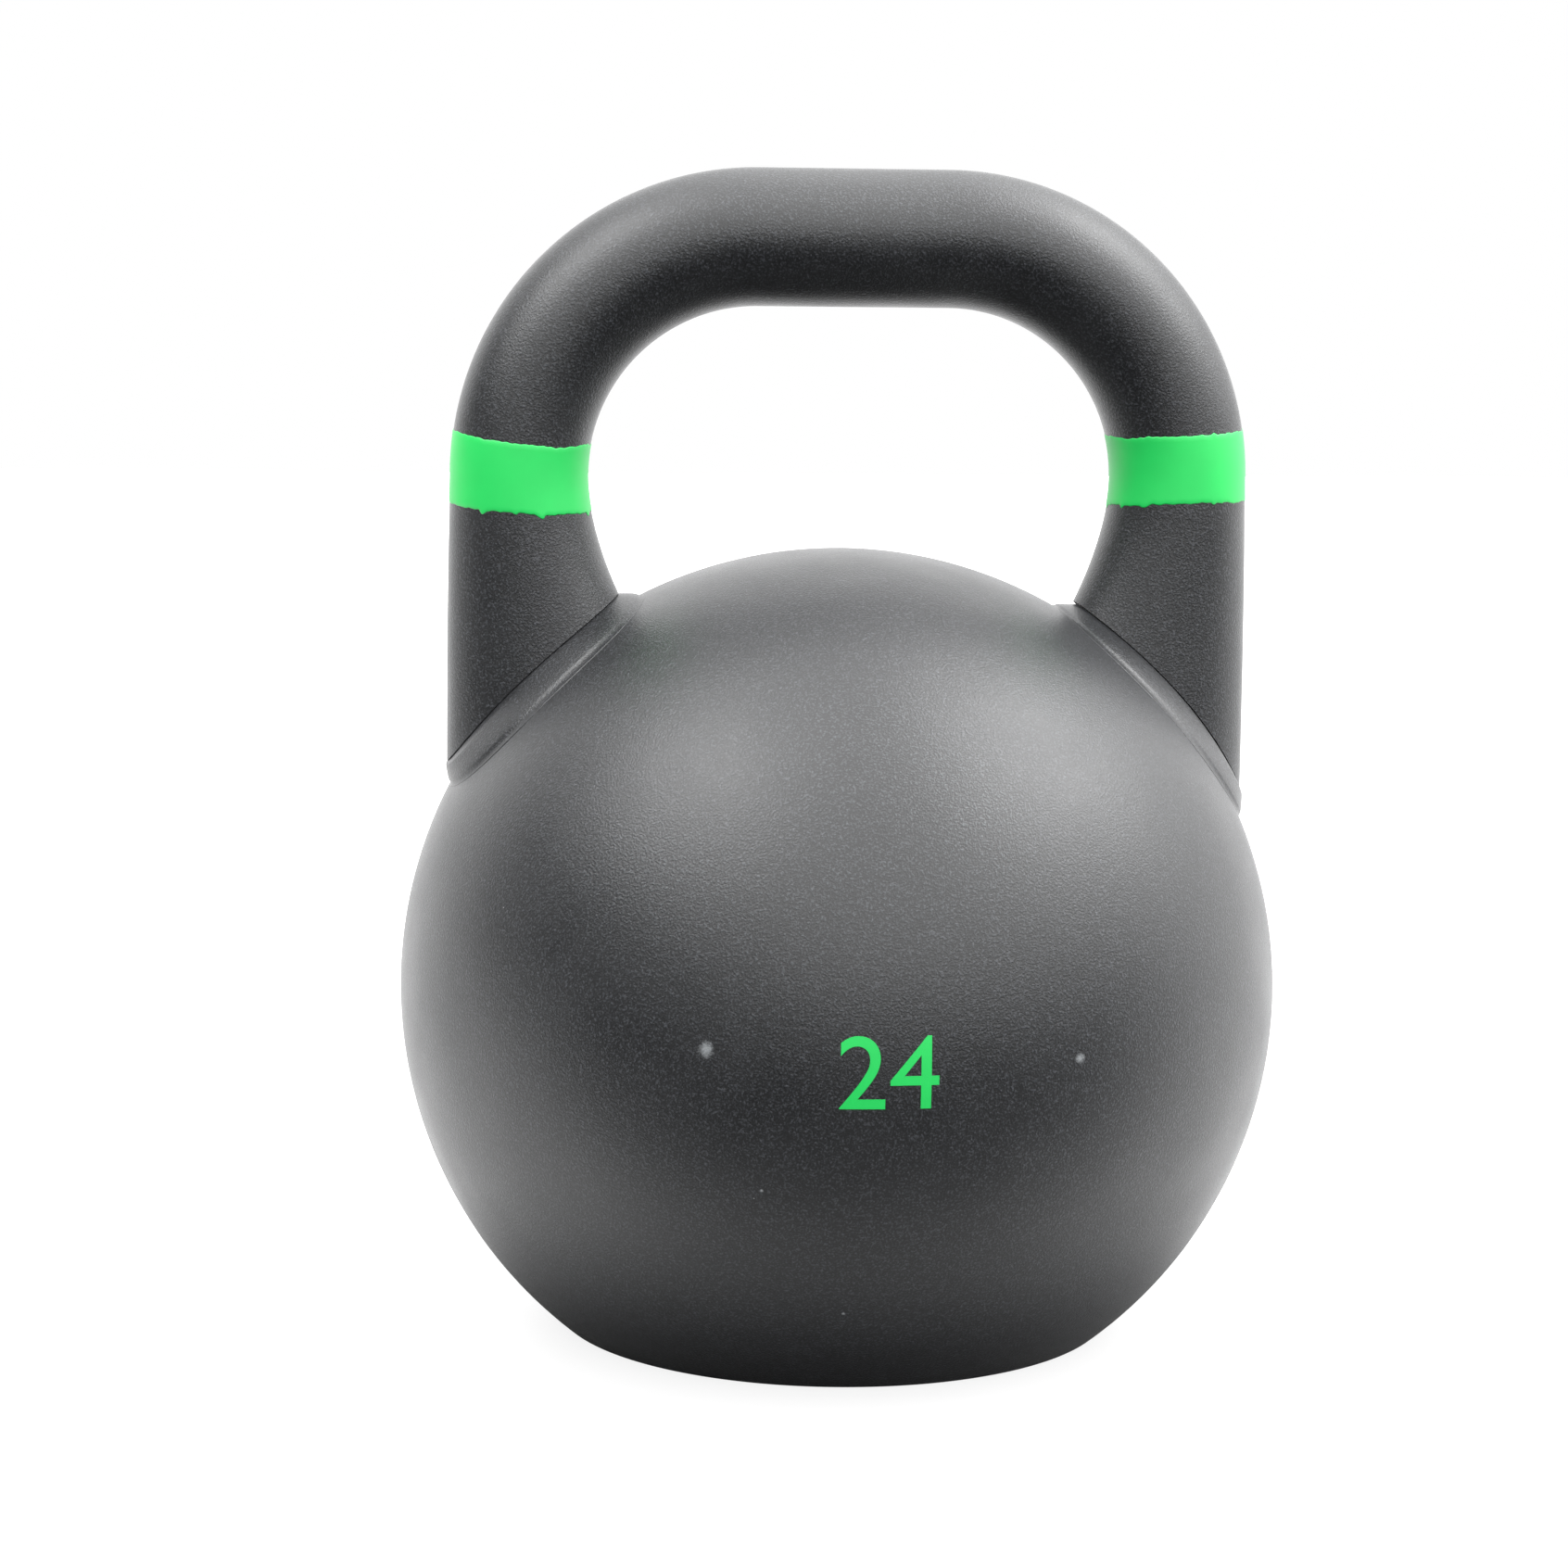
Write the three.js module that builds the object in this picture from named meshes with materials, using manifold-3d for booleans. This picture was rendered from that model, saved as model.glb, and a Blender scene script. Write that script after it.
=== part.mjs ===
// A 24 kg competition kettlebell as an assembly: a hollow cast ball with a flat foot, a bent steel handle
// whose horns flare down to two raised collars on the ball, a screwed and sealed core plug in the foot,
// trim ballast in the crown of the hollow, and the two colour bands that mark the weight.
// Units are millimetres. +Z is up, +X runs along the grip, the marked front faces -Y, and the origin is the
// centre of the foot.
import * as THREE from "three";
import { mergeVertices } from "three/addons/utils/BufferGeometryUtils.js";
import Module from "manifold-3d";

const wasm = await Module();
wasm.setup();

// Ball and foot
const BALL_RADIUS = 105;
const BALL_CENTRE_Z = 81.4; // the foot cuts the ball off this far below its centre
const FOOT_EDGE = 1.5; // height of the broken edge round the foot
const CAVITY_RADIUS = 78.6; // leaves a wall of about 26 mm
const CAVITY_FLOOR_Z = 22;
const CAVITY_FILLET = 9;

// Core plug, its seal and the stepped hole that they close
const HOLE_RADIUS = 20;
const COUNTERBORE_RADIUS = 27;
const COUNTERBORE_DEPTH = 8;
const PLUG_RECESS = 1.2; // the plug stays clear of the floor
const PLUG_FLANGE_THICKNESS = 5.2;
const PLUG_TOP_Z = 20.5;
const SOCKET_ACROSS_FLATS = 14;
const SOCKET_DEPTH = 7;
const SEAL_INNER_RADIUS = 21;
const SEAL_OUTER_RADIUS = 25.6;

// Trim ballast, poured against the crown of the hollow
const BALLAST_DEPTH = 18.4; // trims the whole bell to 24 kg

// Handle, measured on the bar's axis
const BAR_RADIUS = 16.2;
const GRIP_AXIS_Z = 276 - BAR_RADIUS;
const HANDLE_HALF_WIDTH = 78.8;
const HANDLE_OFFSET_X = 2; // the handle stands this far to the right of the ball's centre
const CORNER_RADIUS = 56.2;
const HORN_SPLAY = 0.9; // the horn's outer side leans out this much
const HORN_FLARE = 17; // and its window side comes in this much
const HORN_INNER_DROP = 45; // over this height
const HORN_OUTER_DROP = 85;
const HORN_HALF_DEPTH = 18; // half the horn's size front to back where it lands

// Collars: a raised pad under each horn, given by its edge angles from the vertical
const COLLAR_HEIGHT = 3.2;
const COLLAR_RIM_HEIGHT = 0.9; // the sloping shoulder ends this high above the ball
const COLLAR_TOP_ANGLES = [30.8, 62.7]; // from the vertical, at the horn
const COLLAR_RIM_ANGLES = [28.6, 64.4];
const COLLAR_TOP_HALF_DEPTH = 18.2;
const COLLAR_RIM_HALF_DEPTH = 26.6;
const COLLAR_SQUARENESS = 2.3; // 2 is an ellipse, more is blunter

// Colour bands round the legs
const BAND_HEIGHT = 17.2;
const LEFT_BAND_TOP_Z = 212.4;
const RIGHT_BAND_TOP_Z = 214.6;
const BAND_THICKNESS = 0.3;

const GAP = 0.3; // between faces that touch on the real bell
const AROUND = 48; // facets round the ball
const MERIDIAN_STEP = THREE.MathUtils.degToRad(7.5);
const RING_POINTS = 24; // points round the bar

const CORNER_CENTRE_X = HANDLE_HALF_WIDTH - CORNER_RADIUS;
const CORNER_CENTRE_Z = GRIP_AXIS_Z - CORNER_RADIUS;

// ---- closed geometry and manifold solids

function solidOf(geometry) {
  geometry.deleteAttribute("normal");
  geometry.deleteAttribute("uv");
  const merged = mergeVertices(geometry, 1e-4);
  return new wasm.Manifold(
    new wasm.Mesh({
      numProp: 3,
      vertProperties: merged.attributes.position.array,
      triVerts: new Uint32Array(merged.index.array),
    }),
  );
}

function geometryOf(solid) {
  const mesh = solid.getMesh();
  const geometry = new THREE.BufferGeometry();
  geometry.setAttribute("position", new THREE.BufferAttribute(mesh.vertProperties, 3));
  geometry.setIndex(new THREE.BufferAttribute(mesh.triVerts, 1));
  return geometry;
}

// A body turned about +Z from a profile of [radius, height] points that starts on the axis at the top.
function turned(profile) {
  const points = profile.map(([radius, height]) => new THREE.Vector2(radius, height));
  return new THREE.LatheGeometry(points.reverse(), AROUND).rotateX(Math.PI / 2);
}

// Points down a meridian of a sphere about the ball's centre, at angles from the vertical.
function meridian(radius, from, to) {
  const at = (angle) => [radius * Math.sin(angle), BALL_CENTRE_Z + radius * Math.cos(angle)];
  const points = [at(from)];
  for (let angle = MERIDIAN_STEP; angle < to - MERIDIAN_STEP / 4; angle += MERIDIAN_STEP) {
    if (angle > from + MERIDIAN_STEP / 4) points.push(at(angle));
  }
  points.push(at(to));
  points.forEach((point) => (point[0] = Math.abs(point[0]) < 1e-9 ? 0 : point[0]));
  return points;
}

const ballSolid = (radius) => solidOf(turned(meridian(radius, 0, Math.PI)));

// A closed skin over rings of equally many points, with flat ends.
function lofted(rings) {
  const count = rings[0].length;
  const positions = rings.flat().flatMap((point) => point.toArray());
  const index = [];
  for (let ring = 0; ring + 1 < rings.length; ring++) {
    for (let i = 0; i < count; i++) {
      const a = ring * count + i;
      const b = ring * count + ((i + 1) % count);
      index.push(a, a + count, b, b, a + count, b + count);
    }
  }
  const last = (rings.length - 1) * count;
  for (let i = 1; i + 1 < count; i++) {
    index.push(0, i, i + 1);
    index.push(last, last + i + 1, last + i);
  }
  const geometry = new THREE.BufferGeometry();
  geometry.setAttribute("position", new THREE.Float32BufferAttribute(positions, 3));
  geometry.setIndex(index);
  return geometry;
}

// ---- ball shell

function ballShell() {
  const edgeAngle = Math.acos((FOOT_EDGE - BALL_CENTRE_Z) / BALL_RADIUS);
  const footRadius = Math.sqrt(BALL_RADIUS ** 2 - BALL_CENTRE_Z ** 2);
  const floorAngle = Math.acos((CAVITY_FLOOR_Z + CAVITY_FILLET - BALL_CENTRE_Z) / CAVITY_RADIUS);
  const wallRadius = CAVITY_RADIUS * Math.sin(floorAngle);
  const cavity = meridian(CAVITY_RADIUS, 0, floorAngle);
  cavity.push([wallRadius - CAVITY_FILLET * 0.65, CAVITY_FLOOR_Z + CAVITY_FILLET * 0.3]);
  cavity.push([wallRadius - CAVITY_FILLET * 1.4, CAVITY_FLOOR_Z]);
  const profile = [
    ...meridian(BALL_RADIUS, 0, edgeAngle),
    [footRadius + 0.6, FOOT_EDGE * 0.3],
    [footRadius - 0.8, 0],
    [COUNTERBORE_RADIUS, 0],
    [COUNTERBORE_RADIUS, COUNTERBORE_DEPTH],
    [HOLE_RADIUS, COUNTERBORE_DEPTH],
    [HOLE_RADIUS, CAVITY_FLOOR_Z],
    ...cavity.reverse(),
  ];
  return turned(profile);
}

// ---- core plug, seal and ballast

function corePlug() {
  const flangeTop = PLUG_RECESS + PLUG_FLANGE_THICKNESS;
  const body = solidOf(
    turned([
      [0, PLUG_TOP_Z],
      [HOLE_RADIUS - GAP - 1, PLUG_TOP_Z],
      [HOLE_RADIUS - GAP, PLUG_TOP_Z - 1],
      [HOLE_RADIUS - GAP, flangeTop],
      [COUNTERBORE_RADIUS - GAP, flangeTop],
      [COUNTERBORE_RADIUS - GAP, PLUG_RECESS + 0.6],
      [COUNTERBORE_RADIUS - GAP - 0.6, PLUG_RECESS],
      [0, PLUG_RECESS],
    ]),
  );
  const socketRadius = SOCKET_ACROSS_FLATS / Math.sqrt(3);
  const socket = new THREE.CylinderGeometry(socketRadius, socketRadius, 2 * SOCKET_DEPTH, 6)
    .rotateX(Math.PI / 2)
    .translate(0, 0, PLUG_RECESS);
  return geometryOf(body.subtract(solidOf(socket)));
}

function plugSeal() {
  const bottom = PLUG_RECESS + PLUG_FLANGE_THICKNESS + GAP;
  const top = COUNTERBORE_DEPTH - GAP;
  const profile = [
    [SEAL_INNER_RADIUS, bottom],
    [SEAL_INNER_RADIUS, top],
    [SEAL_OUTER_RADIUS, top],
    [SEAL_OUTER_RADIUS, bottom],
    [SEAL_INNER_RADIUS, bottom],
  ];
  return turned(profile);
}

function trimBallast() {
  const radius = CAVITY_RADIUS - GAP;
  const faceAngle = Math.acos((radius - BALLAST_DEPTH) / radius);
  const crown = meridian(radius, 0, faceAngle);
  return turned([...crown, [0, crown.at(-1)[1]]]);
}

// ---- handle

// The bar's section on the right half of the handle: its outer and inner points in the XZ plane, and
// half its depth.
function gripSection(x) {
  return {
    outer: [x, GRIP_AXIS_Z + BAR_RADIUS],
    inner: [x, GRIP_AXIS_Z - BAR_RADIUS],
    halfDepth: BAR_RADIUS,
  };
}

function cornerSection(angle) {
  const at = (radius) => [
    CORNER_CENTRE_X + radius * Math.cos(angle),
    CORNER_CENTRE_Z + radius * Math.sin(angle),
  ];
  return {
    outer: at(CORNER_RADIUS + BAR_RADIUS),
    inner: at(CORNER_RADIUS - BAR_RADIUS),
    halfDepth: BAR_RADIUS,
  };
}

// Down the horn the outer point leans out a little, and the inner one swings in under the window.
function hornSection(share) {
  const outward = HORN_SPLAY * (1 - (1 - share) ** 3);
  const drop = HORN_INNER_DROP * (1 - (1 - share) ** (HORN_OUTER_DROP / HORN_INNER_DROP));
  const inward = HORN_FLARE * (drop / HORN_INNER_DROP) ** 1.75;
  return {
    outer: [HANDLE_HALF_WIDTH + BAR_RADIUS + outward, CORNER_CENTRE_Z - HORN_OUTER_DROP * share],
    inner: [HANDLE_HALF_WIDTH - BAR_RADIUS - inward, CORNER_CENTRE_Z - drop],
    halfDepth: THREE.MathUtils.lerp(BAR_RADIUS, HORN_HALF_DEPTH, share ** 1.5),
  };
}

// The points round a section, grown by a skin's thickness, on the right (side 1) or the left (side -1).
function ring({ outer, inner, halfDepth }, side, grow = 0) {
  const middle = [(outer[0] + inner[0]) / 2, (outer[1] + inner[1]) / 2];
  const half = [(outer[0] - inner[0]) / 2, (outer[1] - inner[1]) / 2];
  const stretch = 1 + grow / Math.hypot(...half);
  const points = [];
  for (let i = 0; i < RING_POINTS; i++) {
    const turn = (2 * Math.PI * i) / RING_POINTS;
    const along = Math.cos(turn) * stretch;
    const x = middle[0] + half[0] * along;
    const z = middle[1] + half[1] * along;
    points.push(new THREE.Vector3(side * x + HANDLE_OFFSET_X, (halfDepth + grow) * Math.sin(turn), z));
  }
  return points;
}

function handle() {
  const right = [gripSection(CORNER_CENTRE_X / 2)];
  const cornerSteps = 12;
  for (let i = 0; i <= cornerSteps; i++) {
    right.push(cornerSection((Math.PI / 2) * (1 - i / cornerSteps)));
  }
  const hornSteps = 10;
  for (let i = 1; i <= hornSteps; i++) right.push(hornSection(i / hornSteps));
  const left = right.map((section) => ring(section, -1)).reverse();
  const bar = solidOf(lofted([...left, ...right.map((section) => ring(section, 1))]));
  return geometryOf(bar.subtract(ballSolid(BALL_RADIUS + COLLAR_HEIGHT + GAP)));
}

// ---- collars

// The collar's outline on a sphere: angles from the vertical along X, and half its depth along Y.
function collarRing(side, radius, angles, halfDepth) {
  const [from, to] = angles.map((angle) => THREE.MathUtils.degToRad(angle));
  const blunt = (value) => Math.sign(value) * Math.abs(value) ** (2 / COLLAR_SQUARENESS);
  const points = [];
  for (let i = 0; i < RING_POINTS; i++) {
    const turn = (2 * Math.PI * i) / RING_POINTS;
    const angle = (from + to) / 2 + (blunt(Math.cos(turn)) * (to - from)) / 2;
    const y = halfDepth * blunt(Math.sin(turn));
    const x = side * Math.sqrt(radius ** 2 - y ** 2) * Math.sin(angle) + HANDLE_OFFSET_X;
    const z = BALL_CENTRE_Z + Math.sqrt(radius ** 2 - x ** 2 - y ** 2);
    points.push(new THREE.Vector3(x, y, z));
  }
  return points;
}

// A shoulder slopes from the horn's seat down to a low rim, which stands square on the ball.
function collar(side) {
  const topRadius = BALL_RADIUS + COLLAR_HEIGHT;
  const rings = [
    collarRing(side, topRadius + 10, COLLAR_TOP_ANGLES, COLLAR_TOP_HALF_DEPTH),
    collarRing(side, topRadius, COLLAR_TOP_ANGLES, COLLAR_TOP_HALF_DEPTH),
    collarRing(side, BALL_RADIUS + COLLAR_RIM_HEIGHT, COLLAR_RIM_ANGLES, COLLAR_RIM_HALF_DEPTH),
    collarRing(side, BALL_RADIUS - 5, COLLAR_RIM_ANGLES, COLLAR_RIM_HALF_DEPTH),
  ];
  const block = solidOf(lofted(side > 0 ? rings : rings.reverse()));
  return geometryOf(block.intersect(ballSolid(topRadius)).subtract(ballSolid(BALL_RADIUS + GAP)));
}

// ---- colour bands

function band(side, topZ) {
  const bottomZ = topZ - BAND_HEIGHT;
  const share = (z) => (CORNER_CENTRE_Z - z) / HORN_OUTER_DROP;
  const angle = (z) => Math.asin((z - CORNER_CENTRE_Z) / CORNER_RADIUS);
  const sectionsBetween = (top, bottom) => [
    cornerSection(angle(top)),
    cornerSection(angle(top) / 2),
    cornerSection(0),
    hornSection(share(bottom) / 2),
    hornSection(share(bottom)),
  ];
  const sleeve = (top, bottom, grow) => {
    const rings = sectionsBetween(top, bottom).map((section) => ring(section, side, grow));
    return solidOf(lofted(side > 0 ? rings : rings.reverse()));
  };
  const skin = sleeve(topZ, bottomZ, GAP + BAND_THICKNESS);
  return geometryOf(skin.subtract(sleeve(topZ + 2, bottomZ - 2, GAP)));
}

// ---- assembly

const finish = (color, roughness, metalness) =>
  new THREE.MeshStandardMaterial({ color, roughness, metalness });

const blackPowderCoat = finish(0x2b2d30, 0.55, 0.1);
const greenPaint = finish(0x1fdd58, 0.5, 0);
const zincPlate = finish(0xa9aba8, 0.4, 0.9);
const blackRubber = finish(0x1a1a1a, 0.85, 0);
const shotInResin = finish(0x6e6a64, 0.7, 0.4);

const kettlebell = new THREE.Group();

function add(name, geometry, material) {
  const mesh = new THREE.Mesh(geometry, material);
  mesh.name = name;
  kettlebell.add(mesh);
}

add("ball_shell", ballShell(), blackPowderCoat);
add("handle", handle(), blackPowderCoat);
add("left_collar", collar(-1), blackPowderCoat);
add("right_collar", collar(1), blackPowderCoat);
add("core_plug", corePlug(), zincPlate);
add("plug_seal", plugSeal(), blackRubber);
add("trim_ballast", trimBallast(), shotInResin);
add("left_colour_band", band(-1, LEFT_BAND_TOP_Z), greenPaint);
add("right_colour_band", band(1, RIGHT_BAND_TOP_Z), greenPaint);

export default kettlebell;
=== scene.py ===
# %% [markdown]
# # A 24 kg competition kettlebell
# A competition kettlebell is a hollow steel ball with a flat foot and a bent bar for a handle. The handle's
# horns land on two raised collars, everything is powder coated black, and the weight class is shown by
# green paint. This lesson dresses the measured solids of such a bell: it loads them as a fixed frame, makes
# finer surfaces over them, gives each one a finish that starts from the real one, and lights them in a
# plain white studio.

# %% Load the measured frame
import math

import bmesh
import bpy
import numpy as np
from mathutils import Matrix, Vector, noise


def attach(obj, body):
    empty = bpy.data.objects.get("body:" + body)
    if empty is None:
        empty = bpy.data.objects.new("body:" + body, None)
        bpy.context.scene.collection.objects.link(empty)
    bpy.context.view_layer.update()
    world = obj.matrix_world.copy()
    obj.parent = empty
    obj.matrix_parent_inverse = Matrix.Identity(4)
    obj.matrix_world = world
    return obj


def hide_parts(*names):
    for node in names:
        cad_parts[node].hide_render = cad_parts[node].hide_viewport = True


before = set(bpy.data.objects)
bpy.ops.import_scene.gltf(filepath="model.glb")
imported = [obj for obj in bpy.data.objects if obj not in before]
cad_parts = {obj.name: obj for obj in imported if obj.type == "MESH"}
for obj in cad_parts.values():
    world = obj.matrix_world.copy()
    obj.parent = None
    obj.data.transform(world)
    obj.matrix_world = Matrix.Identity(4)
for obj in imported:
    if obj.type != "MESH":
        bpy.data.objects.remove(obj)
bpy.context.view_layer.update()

MM = 0.001
print("measured solids:", sorted(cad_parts))

# %% [markdown]
# ## The sizes that everything shares
# Every piece is made from the same few sizes, in millimetres: the ball, where the foot cuts it, the bar,
# and the bend of the handle. They are the sizes that the solids were built with, so new surfaces fall on
# the old ones.

# %% Shared sizes, in millimetres
BALL_RADIUS = 105.0
BALL_Z = 81.4  # height of the ball's centre
BAR_RADIUS = 16.2
GRIP_Z = 276.0 - BAR_RADIUS  # height of the grip's axis
HALF_WIDTH = 78.8  # from the handle's middle to the axis of a leg
CORNER_RADIUS = 56.2
HANDLE_OFFSET = 2.0  # the handle stands this far to the right of the ball
CORNER_X = HALF_WIDTH - CORNER_RADIUS
CORNER_Z = GRIP_Z - CORNER_RADIUS
foot_radius = math.sqrt(BALL_RADIUS**2 - BALL_Z**2)
window_height = GRIP_Z - BAR_RADIUS - BALL_Z - BALL_RADIUS
print(f"foot {2 * foot_radius:.0f} mm across, window {window_height:.0f} mm high")

# %% [markdown]
# ## The camera
# The camera stands about 0.9 m away, a little to the left and a little above the ball's centre, with a
# short telephoto lens. It is placed by its distance, azimuth and elevation round the ball, then turned by
# its own heading, tilt and roll.

# %% Camera
camera_data = bpy.data.cameras.new("studio_camera")
camera = bpy.data.objects.new("studio_camera", camera_data)
bpy.context.scene.collection.objects.link(camera)
bpy.context.scene.camera = camera
CAMERA_DISTANCE = 0.9  # metres
LENS_MM = 85.1
azimuth, elevation = math.radians(-6.45), math.radians(10.73)
heading, tilt, roll = math.radians(-5.6), math.radians(90 - 7.69), math.radians(0.63)
camera_data.lens = LENS_MM
camera_data.clip_start = 0.01
stand = Vector((0, 0, BALL_Z * MM)) + CAMERA_DISTANCE * Vector(
    (math.sin(azimuth) * math.cos(elevation), -math.cos(azimuth) * math.cos(elevation), math.sin(elevation))
)
camera.matrix_world = (
    Matrix.Translation(stand)
    @ Matrix.Rotation(heading, 4, "Z")
    @ Matrix.Rotation(tilt, 4, "X")
    @ Matrix.Rotation(roll, 4, "Z")
)
# The plain transform keeps the paint as bright as it was mixed, and lets the white paper burn out.
bpy.context.scene.view_settings.view_transform = "Standard"
bpy.context.scene.view_settings.look = "None"
print("camera at", [round(v, 3) for v in stand])

# %% [markdown]
# ## Small helpers
# Four helpers keep the later cells short. One turns a hex colour, as a paint chart gives it, into the
# linear values that light is computed in, and one adds a node with its settings and links. The third turns
# a closed mesh the right way out, and the fourth makes a mesh object out of points and faces.

# %% Colour and node helpers
def linear(code):
    channels = [int(code[i : i + 2], 16) / 255 for i in (1, 3, 5)]
    return (*[c / 12.92 if c <= 0.04045 else ((c + 0.055) / 1.055) ** 2.4 for c in channels], 1.0)


def add(tree, kind, inputs=None, **settings):
    node = tree.nodes.new(kind)
    for name, value in settings.items():
        setattr(node, name, value)
    for key, value in (inputs or {}).items():
        if isinstance(value, bpy.types.NodeSocket):
            tree.links.new(value, node.inputs[key])
        else:
            node.inputs[key].default_value = value
    return node


print("a mid grey is", [round(v, 3) for v in linear("#808080")])


# %% Mesh helper
def outward(mesh):
    """Turns a closed mesh the right way out, by the sign of its volume."""
    mesh.calc_loop_triangles()
    points = np.array([v.co for v in mesh.vertices])
    corners = points[np.array([t.vertices for t in mesh.loop_triangles])]
    volume = np.einsum("ij,ij->i", corners[:, 0], np.cross(corners[:, 1], corners[:, 2])).sum() / 6
    if volume < 0:
        mesh.flip_normals()
    return abs(volume) / MM**3 / 1000


def piece(name, points, faces, material, smooth=True):
    mesh = bpy.data.meshes.new(name)
    mesh.from_pydata([Vector(p) * MM for p in points], [], faces)
    mesh.materials.append(material)
    mesh.polygons.foreach_set("use_smooth", [smooth] * len(mesh.polygons))
    volume = outward(mesh)
    made = bpy.data.objects.new(name, mesh)
    bpy.context.scene.collection.objects.link(made)
    print(f"{name}: {len(mesh.polygons)} faces, {volume:.1f} cm3")
    return made


# %% [markdown]
# ## Finish 1: black powder coat
# The steel is blasted, sprayed with dry polymer powder and baked. The powder melts into a film about 0.08
# mm thick that never quite levels: it keeps a fine grain, a soft satin gloss and a faint mottle. A real
# grain of about 0.1 mm is too fine to see from a step away, so it is drawn at 0.5 mm. The polymer is a
# dielectric, so it is not metallic, and its IOR is a typical 1.5. Handling leaves it with tiny pale nicks
# and specks of dust.

# %% Powder coat
def new_material(name):
    material = bpy.data.materials.new(name)
    material.use_nodes = True
    tree = material.node_tree
    return material, tree, tree.nodes["Principled BSDF"]


GRAIN_MM = 0.5
MOTTLE_MM = 18.0
SPECK_SPACING_MM = 9.0
SPECK_RADIUS_MM = 0.16
SPECK_SHARE = 0.18  # of the cells that hold a speck

powder_coat, tree, surface = new_material("black_powder_coat")
place = add(tree, "ShaderNodeTexCoord").outputs["Object"]
grain = add(
    tree,
    "ShaderNodeTexNoise",
    {"Vector": place, "Scale": 1 / (GRAIN_MM * MM), "Detail": 2.0, "Roughness": 0.6},
)
mottle = add(tree, "ShaderNodeTexNoise", {"Vector": place, "Scale": 1 / (MOTTLE_MM * MM), "Detail": 3.0})
tone = add(
    tree,
    "ShaderNodeMix",
    {"Factor": mottle.outputs["Fac"], "A": linear("#08090b"), "B": linear("#0e0f11")},
    data_type="RGBA",
)
speckle = add(tree, "ShaderNodeMapRange", {"Value": grain.outputs["Fac"], "From Min": 0.5, "From Max": 0.78})
grainy = add(
    tree,
    "ShaderNodeMix",
    {"Factor": speckle.outputs["Result"], "A": tone.outputs["Result"], "B": linear("#393b3f")},
    data_type="RGBA",
)
cells = add(tree, "ShaderNodeTexVoronoi", {"Vector": place, "Scale": 1 / (SPECK_SPACING_MM * MM)})
cell_edge = SPECK_RADIUS_MM / SPECK_SPACING_MM
near = add(
    tree,
    "ShaderNodeMapRange",
    {"Value": cells.outputs["Distance"], "From Min": cell_edge, "From Max": cell_edge * 0.4},
)
few = add(tree, "ShaderNodeSeparateColor", {"Color": cells.outputs["Color"]})
chosen = add(tree, "ShaderNodeMath", {0: few.outputs["Red"], 1: 1 - SPECK_SHARE}, operation="GREATER_THAN")
speck = add(
    tree,
    "ShaderNodeMath",
    {0: near.outputs["Result"], 1: chosen.outputs["Value"]},
    operation="MULTIPLY",
)
coloured = add(
    tree,
    "ShaderNodeMix",
    {"Factor": speck.outputs["Value"], "A": grainy.outputs["Result"], "B": linear("#8d8f90")},
    data_type="RGBA",
)
gloss = add(
    tree,
    "ShaderNodeMapRange",
    {"Value": mottle.outputs["Fac"], "From Min": 0.3, "From Max": 0.7, "To Min": 0.37, "To Max": 0.43},
)
print("powder coat without its nicks:", len(tree.nodes), "nodes")

# %% Nicks in the coat
NICK_RAG_MM = 0.9  # size of the ragged edge's grain
NICKS = [  # place on the ball and size, in millimetres
    ((-39.0, -97.4, 85.3), 1.5),
    ((43.0, -95.8, 82.3), 1.0),
    ((-7.3, -87.2, 23.3), 0.4),
    ((-26.7, -97.8, 54.1), 0.35),
]
ragged = add(
    tree,
    "ShaderNodeTexNoise",
    {"Vector": place, "Scale": 1 / (NICK_RAG_MM * MM), "Detail": 4.0, "Roughness": 0.9},
)
worn = coloured.outputs["Result"]
for spot, size in NICKS:
    apart = add(tree, "ShaderNodeVectorMath", {0: place, 1: [v * MM for v in spot]}, operation="DISTANCE")
    spread = add(
        tree,
        "ShaderNodeMath",
        {0: ragged.outputs["Fac"], 1: -2.6 * size * MM, 2: apart.outputs["Value"]},
        operation="MULTIPLY_ADD",
    )
    inside = add(
        tree,
        "ShaderNodeMapRange",
        {"Value": spread.outputs["Value"], "From Min": 0.05 * size * MM, "From Max": -1.1 * size * MM},
    )
    chipped = add(
        tree,
        "ShaderNodeMix",
        {"Factor": inside.outputs["Result"], "A": worn, "B": linear("#6f7274")},
        data_type="RGBA",
    )
    worn = chipped.outputs["Result"]
relief = add(
    tree,
    "ShaderNodeBump",
    {"Height": grain.outputs["Fac"], "Strength": 0.8, "Distance": 0.16 * MM},
)
tree.links.new(worn, surface.inputs["Base Color"])
tree.links.new(gloss.outputs["Result"], surface.inputs["Roughness"])
tree.links.new(relief.outputs["Normal"], surface.inputs["Normal"])
surface.inputs["IOR"].default_value = 1.5
surface.inputs["Sheen Weight"].default_value = 0.03
surface.inputs["Sheen Roughness"].default_value = 0.35
print("powder coat:", len(tree.nodes), "nodes")

# %% [markdown]
# ## Finish 2: green enamel
# The weight class is sprayed on over the black with a bright enamel, through a mask. The film is thin, even
# and slightly duller than the powder coat, and its colour carries small changes where the spray was
# thinner.

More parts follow.
